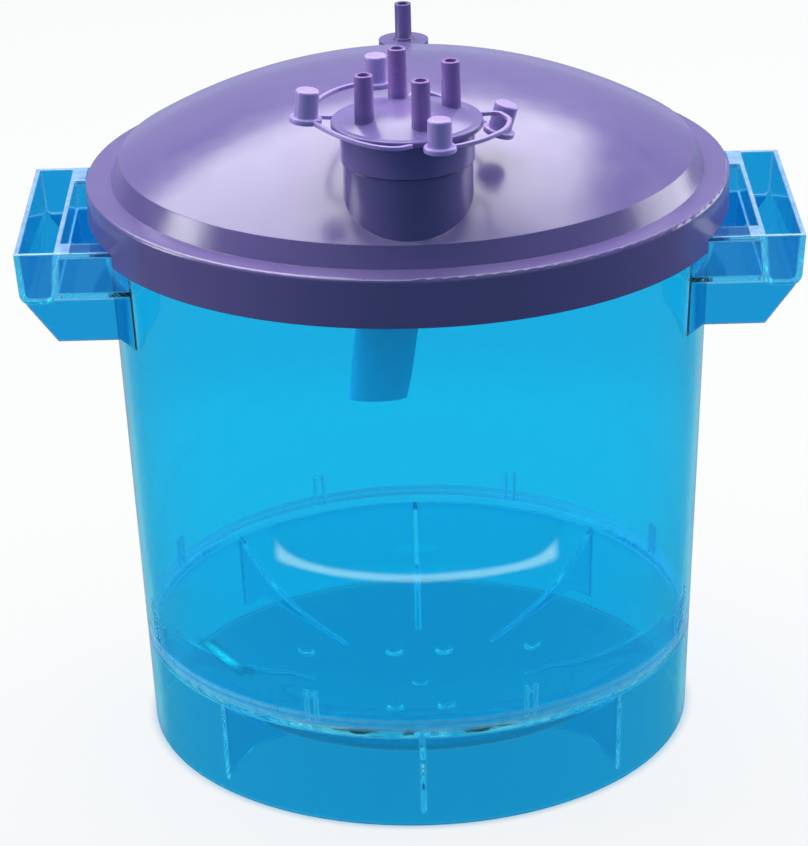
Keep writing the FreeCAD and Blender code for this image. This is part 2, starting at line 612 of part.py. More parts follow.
def plug():
    """Port plug with its flange, standing at the origin with the middle of its flange at height zero."""
    bottom = -PLUG_FLANGE_THICK / 2
    top = bottom + PLUG_HEIGHT
    bore = PORT_TIP_RADIUS + PLUG_BORE_GAP
    lower_round, upper_round = PLUG_FLANGE_ROUNDS
    return turned(((bore, bottom), (PLUG_FLANGE_RADIUS, bottom, lower_round),
                   (PLUG_FLANGE_RADIUS, -bottom, upper_round), (PLUG_RADIUS, -bottom),
                   (PLUG_RADIUS, top, PLUG_TOP_ROUND), (0, top),
                   (0, top - PLUG_TOP_WALL), (bore, top - PLUG_TOP_WALL)))


def tether(index):
    """Strap from the disc's edge to its plug, lifted about the radial line through its root."""
    root_deg = TETHER_ROOT_ANGLES[index]
    root = polar(DISC_RADIUS + GAP + STRAP_WIDTH / 2, root_deg)
    bends = [polar(share * DISC_RADIUS, angle)
             for angle, share in zip(TETHER_POINT_ANGLES[index], TETHER_POINT_SHARES[index])]
    middle = bends.pop()
    last = bends[-1] - middle
    last.normalize()
    end = middle + last * (PLUG_FLANGE_RADIUS - STRAP_WIDTH / 2)
    route = [(place.x, place.y) for place in [root] + bends + [end]]
    face = Part.Face(smooth_path(route).makeOffset2D(STRAP_WIDTH / 2))
    face.translate(V(0, 0, -STRAP_THICK / 2))
    strap = face.extrude(V(0, 0, STRAP_THICK))
    head = plug()
    head.translate(middle)
    hollow = rod(PORT_TIP_RADIUS + PLUG_BORE_GAP, -PLUG_FLANGE_THICK, PLUG_FLANGE_THICK, middle)
    whole = strap.cut(hollow).fuse(head).removeSplitter()
    whole.rotate(root, polar(1, root_deg), -TETHER_LIFT_ANGLES[index])
    whole.translate(SPOUT + V(0, 0, STRAP_Z))
    return whole


def sleeve_loft(offset, bottom_extra):
    """Sleeve body through its oval sections, each made smaller by offset."""
    collar = NECK_INSIDE - GAP - offset
    wires = []
    start = SPOUT + V(0, 0, SLEEVE_COLLAR_Z)
    wires.append(Part.Wire(Part.Circle(start, V(0, 0, 1), collar).toShape()))
    for depth, across, half_width, half_depth in SLEEVE_SECTIONS:
        centre = start + V(across, 0, -depth)
        if depth == SLEEVE_SECTIONS[-1][0]:
            centre.z -= bottom_extra
        wires.append(Part.Wire(Part.Ellipse(centre, half_width - offset, half_depth - offset).toShape()))
    return Part.makeLoft(wires, True, False)


def drop_sleeve():
    """Soft sleeve: flange on the neck, collar inside it, and a flattened tube that hangs into the jar."""
    collar = NECK_INSIDE - GAP
    flange_top = NECK_TOP_Z + SLEEVE_FLANGE_THICK
    outer = sleeve_loft(0.0, 0.0).fuse(rod(collar, SLEEVE_COLLAR_Z, NECK_TOP_Z, SPOUT))
    outer = outer.fuse(rod(SPIGOT_RADIUS - GAP, NECK_TOP_Z, flange_top, SPOUT))
    inner = sleeve_loft(SLEEVE_WALL, 1.0)
    inner = inner.fuse(rod(collar - SLEEVE_WALL, SLEEVE_COLLAR_Z, flange_top + 1, SPOUT))
    return outer.cut(inner)


def float_cage():
    """Cage pushed into the lid's socket, with a flange against its mouth, four windows and a drain hole."""
    flange_z = SOCKET_BOTTOM_Z - CAGE_FLANGE
    body = turned(((VALVE_HOLE_RADIUS, CAGE_BOTTOM_Z), (CAGE_RADIUS, CAGE_BOTTOM_Z, CAGE_ROUND),
                   (CAGE_RADIUS, flange_z), (BOSS_RADIUS, flange_z), (BOSS_RADIUS, SOCKET_BOTTOM_Z),
                   (CAGE_RADIUS, SOCKET_BOTTOM_Z),
                   (CAGE_RADIUS, CAGE_TOP_Z), (CAGE_INSIDE, CAGE_TOP_Z), (CAGE_INSIDE, CAGE_FLOOR_Z),
                   (VALVE_HOLE_RADIUS, CAGE_FLOOR_Z)))
    window_bottom = CAGE_FLOOR_Z + 2 * CAGE_WALL
    for angle in (0, 90):
        window = box(-BOSS_RADIUS, BOSS_RADIUS, -CAGE_WINDOW_WIDTH / 2, CAGE_WINDOW_WIDTH / 2,
                     window_bottom, window_bottom + CAGE_WINDOW_HEIGHT)
        body = body.cut(window.rotated(V(0, 0, 0), V(0, 0, 1), angle))
    body.translate(VACUUM)
    return body


def valve_seal():
    """Soft washer between the cage and the top of the socket."""
    seal = turned(((VALVE_HOLE_RADIUS, CAGE_TOP_Z), (CAGE_RADIUS, CAGE_TOP_Z),
                   (CAGE_RADIUS, SOCKET_TOP_Z), (VALVE_HOLE_RADIUS, SOCKET_TOP_Z)))
    seal.translate(VACUUM)
    return seal


def shutoff_float():
    """Float with a domed tip that closes the washer's hole when it rises."""
    shoulder = FLOAT_BOTTOM_Z + FLOAT_HEIGHT
    lower_round, upper_round = FLOAT_ROUNDS
    body = turned(((0, FLOAT_BOTTOM_Z), (FLOAT_RADIUS, FLOAT_BOTTOM_Z, lower_round),
                   (FLOAT_RADIUS, shoulder, upper_round),
                   (VALVE_HOLE_RADIUS, shoulder), (0, shoulder + FLOAT_TIP_HEIGHT)))
    body.translate(VACUUM)
    return body


def write(name, shape):
    """Write one piece and print its size."""
    limits = shape.BoundBox
    print(f"{name}: {len(shape.Solids)} solid, {shape.Volume / 1000:.1f} cm3, valid {shape.isValid()}, "
          f"x {limits.XMin:.1f} {limits.XMax:.1f}, y {limits.YMin:.1f} {limits.YMax:.1f}, "
          f"z {limits.ZMin:.1f} {limits.ZMax:.1f}")
    shape.exportStep(f"parts/{name}.step")


os.makedirs("parts", exist_ok=True)
write("canister_jar", canister_jar())
write("lid", lid())
write("rim_seal", rim_seal())
write("port_cap", port_cap())
write("drop_sleeve", drop_sleeve())
for number, tether_name in enumerate(TETHER_NAMES):
    write(tether_name, tether(number))
write("float_cage", float_cage())
write("valve_seal", valve_seal())
write("shutoff_float", shutoff_float())
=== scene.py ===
"""Clear blue suction canister with a violet domed lid and a four-port spout cap, dressed and lit.

Metres, +Z up. The origin is the centre of the jar's foot, on the surface that it stands on. -Y is the front.
"""

import logging
import math
from dataclasses import dataclass
from enum import Enum

import bpy
import numpy as np
from mathutils import Matrix, Vector

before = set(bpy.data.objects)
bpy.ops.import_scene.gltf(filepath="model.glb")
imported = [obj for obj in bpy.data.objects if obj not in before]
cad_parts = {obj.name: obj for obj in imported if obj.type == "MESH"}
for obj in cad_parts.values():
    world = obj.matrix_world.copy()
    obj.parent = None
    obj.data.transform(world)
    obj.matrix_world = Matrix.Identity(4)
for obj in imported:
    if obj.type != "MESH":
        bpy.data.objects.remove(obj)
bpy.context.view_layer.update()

LOG = logging.getLogger("canister")
Socket = bpy.types.NodeSocket
Colour = tuple[float, float, float]
Place = tuple[float, float, float]
Span = tuple[float, float]

WHITE: Colour = (1.0, 1.0, 1.0)
BEVEL_SAMPLES = 6
LEAN_SPAN: Span = (0.992, 0.93)     # cosine of an edge's lean: where it begins to count, and counts in full
NOISE_SPAN: Span = (0.3, 0.7)       # where most of a noise's values lie


class Ray(Enum):
    """Kinds of ray that the studio answers in their own way, by their socket on the Light Path node."""

    CAMERA = "Is Camera Ray"
    GLOSSY = "Is Glossy Ray"
    TRANSMISSION = "Is Transmission Ray"
    SHADOW = "Is Shadow Ray"


class Sketch:
    """Node tree under construction, with short calls for adding and joining nodes."""

    def __init__(self, tree: bpy.types.NodeTree) -> None:
        """Empty the tree.

        Args:
            tree: the node tree of a material or a world.
        """
        self.tree = tree
        tree.nodes.clear()

    def add(self, kind: str, **values: object) -> bpy.types.Node:
        """Add a node.

        Args:
            kind: the node's type without its ShaderNode prefix.
            values: attributes of the node, or values of its inputs with spaces written as underscores.

        Returns:
            The new node.
        """
        node = self.tree.nodes.new("ShaderNode" + kind)
        for key, value in values.items():
            label = key.replace("_", " ")
            if label in node.inputs:
                node.inputs[label].default_value = value
            else:
                setattr(node, key, value)
        return node

    def join(self, source: Socket, target: Socket) -> None:
        """Link an output to an input."""
        self.tree.links.new(source, target)

    def reckon(self, operation: str, first: Socket, second: float | Socket | None = None) -> Socket:
        """Do a sum on one value or two.

        Args:
            operation: the Math node's name for the sum.
            first: the first value.
            second: the second value, where the sum has one.

        Returns:
            The result's socket.
        """
        node = self.add("Math", operation=operation)
        self.join(first, node.inputs[0])
        if isinstance(second, float):
            node.inputs[1].default_value = second
        elif second is not None:
            self.join(second, node.inputs[1])
        return node.outputs[0]

    def times(self, source: Socket, factor: float | Socket) -> Socket:
        """Multiply a value by a number or by another value."""
        return self.reckon("MULTIPLY", source, factor)

    def most(self, *shares: Socket) -> Socket:
        """Find the largest of some shares.

        Args:
            shares: the shares.

        Returns:
            The largest share's socket.
        """
        total = shares[0]
        for share in shares[1:]:
            total = self.reckon("MAXIMUM", total, share)
        return total

    def rays(self, *kinds: Ray) -> Socket:
        """Give a socket that is 1 for rays of any of these kinds and 0 for the rest."""
        path = self.add("LightPath")
        return self.most(*(path.outputs[kind.value] for kind in kinds))

    def place(self) -> Socket:
        """Give the piece's own coordinates in metres."""
        return self.add("TexCoord").outputs["Object"]

    def part(self, vector: Socket, name: str) -> Socket:
        """Take one number out of a vector.

        Args:
            vector: the vector.
            name: X, Y or Z.

        Returns:
            The number's socket.
        """
        split = self.add("SeparateXYZ")
        self.join(vector, split.inputs["Vector"])
        return split.outputs[name]

    def axis(self, name: str) -> Socket:
        """Give the piece's own X, Y or Z coordinate in metres."""
        return self.part(self.place(), name)

    def away(self, scale: Place) -> Socket:
        """Measure the distance from the piece's origin.

        Args:
            scale: factors that the three coordinates are multiplied by first.

        Returns:
            The distance's socket.
        """
        scaled = self.add("VectorMath", operation="MULTIPLY")
        scaled.inputs[1].default_value = scale
        self.join(self.place(), scaled.inputs[0])
        length = self.add("VectorMath", operation="LENGTH")
        self.join(scaled.outputs["Vector"], length.inputs[0])
        return length.outputs["Value"]

    def radius(self) -> Socket:
        """Give the distance from the piece's Z axis in metres."""
        return self.away((1.0, 1.0, 0.0))

    def rounded(self, reach: float) -> Socket:
        """Give the normal that the piece has when its edges are rounded over this reach in metres."""
        return self.add("Bevel", samples=BEVEL_SAMPLES, Radius=reach).outputs["Normal"]

    def edges(self, reach: float) -> Socket:
        """Give 1 on the piece's edges and in its corners, and 0 on its smooth faces.

        Args:
            reach: how far from an edge its lean begins, in metres.

        Returns:
            The share's socket.
        """
        lean = self.add("VectorMath", operation="DOT_PRODUCT")
        self.join(self.rounded(reach), lean.inputs[0])
        self.join(self.add("NewGeometry").outputs["True Normal"], lean.inputs[1])
        return self.ramp(lean.outputs["Value"], *LEAN_SPAN)

    def ramp(self, source: Socket, start: float, end: float) -> Socket:
        """Rise smoothly from 0 to 1.

        Args:
            source: the value.
            start: the value at which the result is 0.
            end: the value at which the result is 1.

        Returns:
            The result's socket.
        """
        node = self.add("MapRange", interpolation_type="SMOOTHSTEP")
        node.inputs["From Min"].default_value = start
        node.inputs["From Max"].default_value = end
        self.join(source, node.inputs["Value"])
        return node.outputs["Result"]

    def band(self, source: Socket, middle: float, half: float, soft: float) -> Socket:
        """Give 1 in a band of a value and 0 outside it.

        Args:
            source: the value.
            middle: the band's middle.
            half: half its width.
            soft: the distance over which it fades out on each side.

        Returns:
            The share's socket.
        """
        offset = self.reckon("ABSOLUTE", self.reckon("SUBTRACT", source, middle))
        return self.ramp(offset, half + soft, half)

    def blend(self, share: Socket, low: Colour | Socket, high: Colour | Socket) -> Socket:
        """Mix two colours.

        Args:
            share: 0 for the first colour and 1 for the second.
            low: the first colour, or a socket that gives it.
            high: the second colour, or a socket that gives it.

        Returns:
            The mixed colour's socket.
        """
        mix = self.add("Mix", data_type="RGBA")
        for colour, socket in ((low, mix.inputs["A"]), (high, mix.inputs["B"])):
            if isinstance(colour, tuple):
                socket.default_value = (*colour, 1.0)
            else:
                self.join(colour, socket)
        self.join(share, mix.inputs["Factor"])
        return mix.outputs["Result"]

    def either(self, share: Socket, low: bpy.types.Node, high: bpy.types.Node) -> bpy.types.Node:
        """Mix two shaders.

        Args:
            share: 0 for the first shader and 1 for the second.
            low: the first shader's node.
            high: the second shader's node.

        Returns:
            The mixing node.
        """
        mix = self.add("MixShader")
        self.join(share, mix.inputs["Fac"])
        self.join(low.outputs[0], mix.inputs[1])
        self.join(high.outputs[0], mix.inputs[2])
        return mix

    def glow(self, kind: str, colour: Colour, strength: float) -> bpy.types.Node:
        """Add a shader that gives off light.

        Args:
            kind: Emission for a surface, and Background for a world.
            colour: the light's colour.
            strength: its strength, where 1 shows as white.

        Returns:
            The shader's node.
        """
        return self.add(kind, Color=(*colour, 1.0), Strength=strength)

    def noise(self, scale: float, detail: float = 3.0, roughness: float = 0.5) -> Socket:
        """Give noise in the piece's own coordinates.

        Args:
            scale: lumps per metre.
            detail: octaves.
            roughness: share of the fine octaves.

        Returns:
            The noise value's socket.
        """
        texture = self.add("TexNoise", Scale=scale, Detail=detail, Roughness=roughness)
        self.join(self.place(), texture.inputs["Vector"])
        return texture.outputs["Fac"]

    def spread(self, source: Socket, low: float, high: float) -> Socket:
        """Carry a noise's usual values over to a span.

        Args:
            source: the noise.
            low: the span's lower end.
            high: the span's upper end.

        Returns:
            The result's socket.
        """
        start, end = NOISE_SPAN
        ramp = self.add("MapRange", From_Min=start, From_Max=end, To_Min=low, To_Max=high)
        self.join(source, ramp.inputs["Value"])
        return ramp.outputs["Result"]

    def bump(self, source: Socket, depth: float, under: Socket) -> Socket:
        """Turn a height into a normal.

        Args:
            source: the height, from 0 to 1.
            depth: height of a full step in metres.
            under: the normal that this bump lies on.

        Returns:
            The normal's socket.
        """
        node = self.add("Bump", Strength=1.0, Distance=depth)
        self.join(source, node.inputs["Height"])
        self.join(under, node.inputs["Normal"])
        return node.outputs["Normal"]

    def end(self, shader: bpy.types.Node, kind: str = "OutputMaterial") -> None:
        """Lead a shader to the tree's output."""
        self.join(shader.outputs[0], self.add(kind).inputs["Surface"])


def new_material(name: str) -> tuple[bpy.types.Material, Sketch]:
    """Make an empty node material.

    Args:
        name: the material's name.

    Returns:
        The material and the sketch that fills it.
    """
    material = bpy.data.materials.new(name)
    material.use_nodes = True
    return material, Sketch(material.node_tree)


def new_object(name: str, data: bpy.types.ID) -> bpy.types.Object:
    """Put an object into the scene.

    Args:
        name: the object's name.
        data: its mesh, lamp or camera.

    Returns:
        The object.
    """
    thing = bpy.data.objects.new(name, data)
    bpy.context.scene.collection.objects.link(thing)
    return thing


def flat_mesh(name: str, half_x: float, half_y: float) -> bpy.types.Mesh:
    """Make a level rectangle about the origin, whose corners are the half sides with either sign.

    Args:
        name: the mesh's name.
        half_x: half its length along X.
        half_y: half its length along Y.

    Returns:
        The mesh.
    """
    signs = np.array([(-1.0, -1.0, 0.0), (1.0, -1.0, 0.0), (1.0, 1.0, 0.0), (-1.0, 1.0, 0.0)])
    mesh = bpy.data.meshes.new(name)
    mesh.from_pydata((signs * (half_x, half_y, 1.0)).tolist(), [], [(0, 1, 2, 3)])
    return mesh


@dataclass(frozen=True)
class MouldedPlastic:
    """Opaque moulded plastic: fine skin texture, slow flow waves and slightly uneven gloss.

    Above a given height it takes on a lighter colour: painted light for the brighter light that falls on high
    parts.
    """

    name: str
    colour: Colour
    shade: Colour
    roughness: float
    # Lighter colour painted on above a height, as painted light; None keeps the colour even.
    painted_light_colour: Colour | None = None
    painted_light_from: float = 0.0
    painted_light_fade: float = 0.004
    tone_scale: float = 9.0
    gloss_scale: float = 70.0
    gloss_factors: Span = (0.85, 1.2)
    wave_scale: float = 22.0
    wave_depth: float = 0.00012
    grain_scale: float = 2600.0
    grain_depth: float = 0.000012
    ior: float = 1.5
    edge_round: float = 0.0006

    def material(self) -> bpy.types.Material:
        """Build the finish.

        Returns:
            The material.
        """
        material, sketch = new_material(self.name)
        shader = sketch.add("BsdfPrincipled", IOR=self.ior)
        flow = sketch.spread(sketch.noise(self.tone_scale, detail=2.0), 0.0, 1.0)
        tone = sketch.blend(flow, self.colour, self.shade)
        # Painted light: above the given height the colour passes into a lighter one.
        if self.painted_light_colour is not None:
            painted_light = sketch.ramp(sketch.axis("Z"), self.painted_light_from, self.painted_light_from + self.painted_light_fade)
            tone = sketch.blend(painted_light, tone, self.painted_light_colour)
        sketch.join(tone, shader.inputs["Base Color"])
        low, high = (self.roughness * factor for factor in self.gloss_factors)
        gloss = sketch.spread(sketch.noise(self.gloss_scale, detail=4.0), low, high)
        sketch.join(gloss, shader.inputs["Roughness"])
        waves = sketch.bump(sketch.noise(self.wave_scale, detail=1.0), self.wave_depth,
                            sketch.rounded(self.edge_round))
        grain = sketch.bump(sketch.noise(self.grain_scale, detail=2.0), self.grain_depth, waves)
        sketch.join(grain, shader.inputs["Normal"])
        sketch.end(shader)
        return material


@dataclass(frozen=True)
class ClearPlastic:
    """Clear tinted plastic that lets lamps through.

    Its edges, the ring where the bowl meets the wall and the grips' rims are painted pale, unevenly: a painted
    highlight for the light that such edges catch. Faint moulding waves and a few fine scuffs break up its
    gloss.
    A span of two lengths says where one look begins to pass into the next and where it has done so, in metres.
    """

    name: str
    tint: Colour
    # Deeper on the handles as painted shade; lighter on the grips' front end walls and on the bowl as painted
    # light.
    handle_shade_tint: Colour
    end_light_tint: Colour
    bowl_light_tint: Colour
    lamp_tint: Colour
    # Colour of the painted highlight on edges, the ring and the grips' rims.
    pale: Colour
    roughness: float
    ior: float = 1.5
    scuff_scale: float = 55.0
    scuff_factors: Span = (0.4, 1.8)
    wave_scale: float = 14.0
    wave_depth: float = 0.0001
    edge_round: float = 0.0006
    # Noise that makes the painted highlight uneven, and where and how strongly the edges, the ring and the
    # grips' rims carry it.
    cloud_scale: float = 160.0
    cloud_shares: Span = (0.72, 1.0)
    edge_reach: float = 0.0016
    edge_highlight_share: float = 0.75
    ring_highlight_share: float = 0.42
    ring_heights: Span = (0.0563, 0.0602)
    ring_halves: Span = (0.0013, 0.0010)
    ring_soft: float = 0.0005
    ring_radii: Span = (0.1405, 0.1410)
    rim_highlight_share: float = 0.54
    rim_bottom: Span = (0.2865, 0.2867)
    rim_top: Span = (0.2884, 0.2880)
    rim_across: Span = (0.1700, 0.1704)
    bowl_radii: Span = (0.1400, 0.1420)
    handle_radii: Span = (0.1562, 0.1575)
    grip_bottom: Span = (0.2615, 0.2625)
    grip_end: Span = (-0.0627, -0.0633)

    def material(self) -> bpy.types.Material:
        """Build the finish.

        Returns:
            The material.
        """
        material, sketch = new_material(self.name)
        shader = sketch.add("BsdfPrincipled", IOR=self.ior)
        # Painted highlight: the edges, the ring and the grips' rims turn pale and let less light through.
        pale = self.painted_highlight_share(sketch)
        sketch.join(sketch.blend(pale, self.clear_tint(sketch), self.pale), shader.inputs["Base Color"])
        through = sketch.add("MapRange", From_Min=0.0, From_Max=1.0, To_Min=1.0, To_Max=0.0)
        sketch.join(pale, through.inputs["Value"])
        sketch.join(through.outputs["Result"], shader.inputs["Transmission Weight"])
        low, high = (self.roughness * factor for factor in self.scuff_factors)
        scuffs = sketch.spread(sketch.noise(self.scuff_scale, detail=6.0, roughness=0.7), low, high)
        sketch.join(scuffs, shader.inputs["Roughness"])
        waves = sketch.bump(sketch.noise(self.wave_scale, detail=1.5), self.wave_depth,
                            sketch.rounded(self.edge_round))
        sketch.join(waves, shader.inputs["Normal"])
        lamps = sketch.add("BsdfTransparent", Color=(*self.lamp_tint, 1.0))
        sketch.end(sketch.either(sketch.rays(Ray.SHADOW), shader, lamps))
        return material

    def clear_tint(self, sketch: Sketch) -> Socket:
        """Tint the clear plastic by place: the wall keeps the plain tint, the handles are deeper as painted
        shade, and the grips' front end walls and the bowl lighter as painted light.

        Args:
            sketch: the material's tree.

        Returns:
            The tint's socket.
        """
        on_handle = sketch.ramp(sketch.radius(), *self.handle_radii)
        wall = sketch.blend(on_handle, self.tint, self.handle_shade_tint)
        ends = sketch.ramp(sketch.axis("Y"), *self.grip_end)
        above = sketch.ramp(sketch.axis("Z"), *self.grip_bottom)
        wall = sketch.blend(sketch.times(sketch.times(ends, above), on_handle), wall, self.end_light_tint)
        return sketch.blend(sketch.ramp(sketch.radius(), *self.bowl_radii), self.bowl_light_tint, wall)

    def painted_highlight_share(self, sketch: Sketch) -> Socket:
        """Say how much of a place is painted pale in place of letting light through: the painted highlight on
        edges, the ring and the grips' rims.

        Args:
            sketch: the material's tree.

        Returns:
            The share's socket, 0 on the smooth clear faces.
        """
        edges = sketch.times(sketch.edges(self.edge_reach), self.edge_highlight_share)
        height = sketch.axis("Z")
        rings = [sketch.band(height, middle, half, self.ring_soft)
                 for middle, half in zip(self.ring_heights, self.ring_halves)]
        on_wall = sketch.ramp(sketch.radius(), *self.ring_radii)
        ring = sketch.times(sketch.times(sketch.most(*rings), on_wall), self.ring_highlight_share)
        beyond = sketch.ramp(sketch.reckon("ABSOLUTE", sketch.axis("X")), *self.rim_across)
        level = sketch.times(sketch.ramp(height, *self.rim_bottom), sketch.ramp(height, *self.rim_top))
        rim = sketch.times(sketch.times(level, beyond), self.rim_highlight_share)
        cloud = sketch.spread(sketch.noise(self.cloud_scale, detail=3.0, roughness=0.6), *self.cloud_shares)
        return sketch.times(sketch.most(edges, ring, rim), cloud)


VIOLET = MouldedPlastic("violet", (0.150, 0.105, 0.295), (0.132, 0.093, 0.27), 0.22, ior=1.62)
# The cap and the tethers wear lighter copies of the lid's violet: painted light for the brighter light these
# high parts catch.
CAP_VIOLET = MouldedPlastic("violet_cap", (0.19, 0.13, 0.36), (0.17, 0.117, 0.335), 0.24,
                            painted_light_colour=(0.25, 0.135, 0.40), painted_light_from=0.3733)
TETHER_VIOLET = MouldedPlastic("violet_tether", (0.42, 0.29, 0.66), (0.385, 0.265, 0.61), 0.26)
# The clear blue carries a painted highlight on its edges, its ring and its grips' rims.
CLEAR_BLUE = ClearPlastic("clear_blue", tint=(0.085, 0.71, 0.93), handle_shade_tint=(0.010, 0.36, 0.73),
                          # Its tints by place hold painted shade on the handles and painted light on the end
                          # walls and the bowl.
                          end_light_tint=(0.20, 0.68, 0.92), bowl_light_tint=(0.18, 0.86, 0.97),
                          lamp_tint=(0.62, 0.90, 1.0), pale=(0.82, 0.82, 1.0), roughness=0.02)
SLEEVE = MouldedPlastic("soft_sleeve", (0.25, 0.72, 0.95), (0.22, 0.66, 0.90), 0.45)
SEAL = MouldedPlastic("soft_seal", (0.50, 0.51, 0.56), (0.45, 0.46, 0.52), 0.55)
VALVE = MouldedPlastic("valve_white", (0.72, 0.74, 0.78), (0.66, 0.68, 0.73), 0.35)


def dress(names: tuple[str, ...], finish: MouldedPlastic | ClearPlastic) -> None:
    """Give nodes of the frame a finish.

    Args:
        names: the nodes.
        finish: what their surface is made of.
    """
    material = finish.material()
    for name in names:
        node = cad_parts[name]
        for slot in node.material_slots:
            slot.material = material
        LOG.info("%s wears %s", name, finish.name)


@dataclass(frozen=True)
class Softbox:
    """Square lamp that faces a point. The clear plastic doesn't show it behind itself."""

    name: str
    place: Place
    size: Span
    radiance: float
    colour: Colour = WHITE
    aim: Place = (0.0, 0.0, 0.25)

    def build(self) -> None:
        """Make the lamp. Its power is its radiance times pi times its area."""
        data = bpy.data.lights.new(self.name, "AREA")
        data.shape = "RECTANGLE"
        data.size, data.size_y = self.size
        data.energy = self.radiance * math.pi * self.size[0] * self.size[1]
        data.color = self.colour
        lamp = new_object(self.name, data)
        lamp.location = self.place
        lamp.visible_transmission = False
        towards = Vector(self.aim) - Vector(self.place)
        lamp.rotation_euler = towards.to_track_quat("-Z", "Y").to_euler()


SOFTBOXES = (
    Softbox("top_box", (-0.19, 1.04, 2.05), (2.57, 1.68), 5.1, (1.0, 0.99, 0.92)),
    Softbox("front_box", (0.0, -0.45, 2.4), (2.2, 1.0), 4.2),
    Softbox("back_box", (0.0, 3.0, 0.9), (5.0, 1.6), 0.22),
    Softbox("left_box", (-2.0, 0.05, 0.75), (0.6, 1.5), 7.6),
    Softbox("right_box", (1.85, 0.82, 0.9), (1.5, 1.5), 4.2),
)


